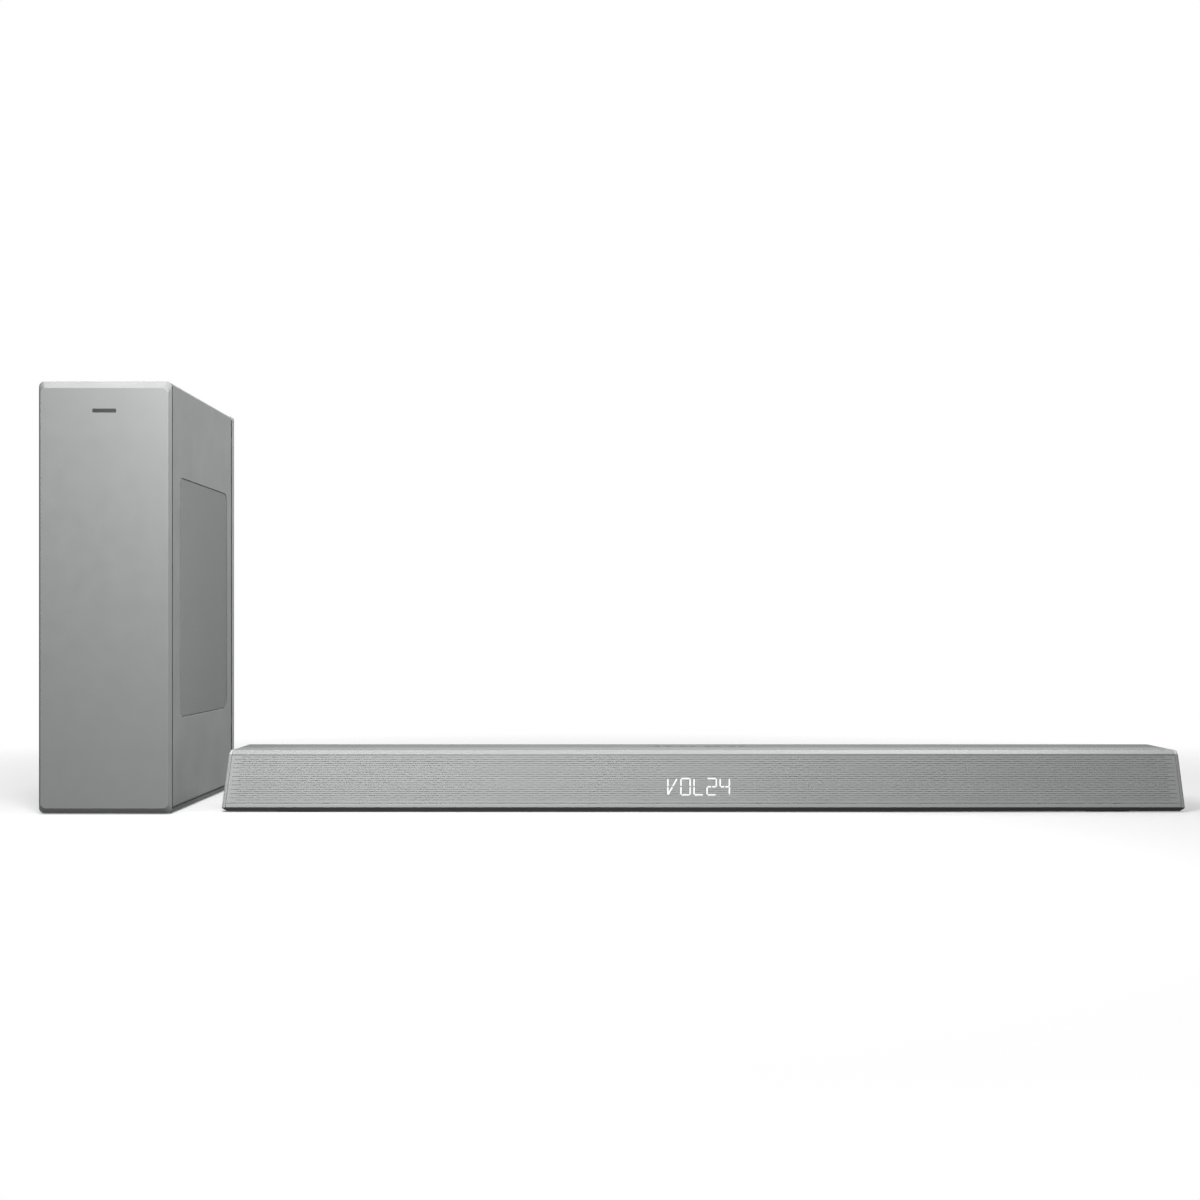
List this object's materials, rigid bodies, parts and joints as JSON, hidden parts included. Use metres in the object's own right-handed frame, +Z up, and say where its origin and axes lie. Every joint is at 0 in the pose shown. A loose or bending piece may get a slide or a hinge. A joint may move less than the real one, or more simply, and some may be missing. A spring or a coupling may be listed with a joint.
{
  "type": "soundbar",
  "caption": "Long low soundbar with a perforated metal front, glowing display and push buttons, and its slim upright wireless subwoofer.",
  "frame": {"origin": "on the surface the set stands on, in the middle of the rectangle that bar and subwoofer take up together", "axes": "+X along the bar, from the subwoofer towards the bar's far end, to the listener's right; +Z up; the listener is at -Y"},
  "size_m": [1.065, 0.3, 0.4],
  "materials": {
    "grille_metal": "fine perforated sheet, satin silver-grey anodised",
    "trim_metal": "satin",
    "badge_metal": "dark satin, blank",
    "housing_plastic": "fine moulded grain, mid grey",
    "base_plastic": "black, fine grain",
    "foot_rubber": "matte",
    "surround_rubber": "matte",
    "driver_steel": "pressed, plain",
    "sink_aluminium": "extruded, plain",
    "magnet_ferrite": "sintered, matte",
    "cone_paper": "pressed pulp",
    "black_plastic": "black, fine grain",
    "button_plastic": "satin dark grey",
    "lens_plastic": "smoked, glossy",
    "circuit_board": "green solder mask",
    "insert_brass": "turned",
    "sub_panel": "satin silver-grey metallic lacquer",
    "cabinet_board": "fibreboard under a silver-grey foil",
    "grille_cloth": "grey woven acoustic cloth on a flat frame",
    "amp_plate": "black powder coat"
  },
  "bodies": {
    "soundbar": {"base_plate": "base_plastic", "bar_foot_1": "foot_rubber", "bar_foot_2": "foot_rubber", "bar_foot_3": "foot_rubber", "bar_foot_4": "foot_rubber", "front_grille": "grille_metal", "lower_trim": "trim_metal", "rear_housing": "housing_plastic", "end_cap_left": "grille_metal", "end_cap_right": "grille_metal", "front_baffle": "base_plastic", "driver_left_frame": "driver_steel", "driver_left_magnet": "magnet_ferrite", "driver_left_surround": "surround_rubber", "tweeter_left": "black_plastic", "wall_insert_left": "insert_brass", "driver_right_frame": "driver_steel", "driver_right_magnet": "magnet_ferrite", "driver_right_surround": "surround_rubber", "tweeter_right": "black_plastic", "wall_insert_right": "insert_brass", "display_lens": "lens_plastic", "display_module": "black_plastic", "infrared_receiver": "lens_plastic", "button_board": "circuit_board", "main_board": "circuit_board", "heat_sink": "sink_aluminium", "power_board": "circuit_board", "connector_tray": "black_plastic", "aux_socket": "driver_steel", "usb_socket": "driver_steel", "hdmi_socket_in": "driver_steel", "hdmi_socket_out": "driver_steel", "mains_inlet": "black_plastic"},
    "power_button": {"button_power": "button_plastic"},
    "source_button": {"button_source": "button_plastic"},
    "volume_down_button": {"button_volume_down": "button_plastic"},
    "volume_up_button": {"button_volume_up": "button_plastic"},
    "left_cone": {"driver_left_cone": "cone_paper"},
    "right_cone": {"driver_right_cone": "cone_paper"},
    "subwoofer": {"sub_cabinet": "cabinet_board", "sub_front_panel": "sub_panel", "sub_badge": "badge_metal", "sub_rear_panel": "cabinet_board", "sub_side_grille": "grille_cloth", "woofer_frame": "driver_steel", "woofer_magnet": "magnet_ferrite", "woofer_surround": "surround_rubber", "port_tube": "black_plastic", "sub_amp_plate": "amp_plate", "sub_mains_inlet": "black_plastic", "sub_status_led": "lens_plastic", "sub_amp_board": "circuit_board", "sub_base_plate": "base_plastic", "sub_foot_1": "foot_rubber", "sub_foot_2": "foot_rubber", "sub_foot_3": "foot_rubber", "sub_foot_4": "foot_rubber"},
    "woofer_cone": {"woofer_cone": "cone_paper"},
    "pair_button": {"sub_pair_button": "button_plastic"}
  },
  "joints": [
    {"name": "power_press", "type": "slide", "parent": "soundbar", "child": "power_button", "axis": [0, 0, 1], "range_m": [-0.0006, 0], "stiffness_N_per_m": 400},
    {"name": "source_press", "type": "slide", "parent": "soundbar", "child": "source_button", "axis": [0, 0, 1], "range_m": [-0.0006, 0], "stiffness_N_per_m": 400},
    {"name": "volume_down_press", "type": "slide", "parent": "soundbar", "child": "volume_down_button", "axis": [0, 0, 1], "range_m": [-0.0006, 0], "stiffness_N_per_m": 400},
    {"name": "volume_up_press", "type": "slide", "parent": "soundbar", "child": "volume_up_button", "axis": [0, 0, 1], "range_m": [-0.0006, 0], "stiffness_N_per_m": 400},
    {"name": "left_cone_stroke", "type": "slide", "parent": "soundbar", "child": "left_cone", "axis": [0, -1, 0], "range_m": [-0.002, 0.002], "stiffness_N_per_m": 1500},
    {"name": "right_cone_stroke", "type": "slide", "parent": "soundbar", "child": "right_cone", "axis": [0, -1, 0], "range_m": [-0.002, 0.002], "stiffness_N_per_m": 1500},
    {"name": "subwoofer_placement", "type": "slide", "parent": "soundbar", "child": "subwoofer", "axis": [1, 0, 0], "range_m": [-0.3, 0]},
    {"name": "woofer_stroke", "type": "slide", "parent": "subwoofer", "child": "woofer_cone", "axis": [1, 0, 0], "range_m": [-0.006, 0.006], "stiffness_N_per_m": 3000},
    {"name": "pair_press", "type": "slide", "parent": "subwoofer", "child": "pair_button", "axis": [0, 1, 0], "range_m": [-0.0008, 0], "stiffness_N_per_m": 400}
  ]
}
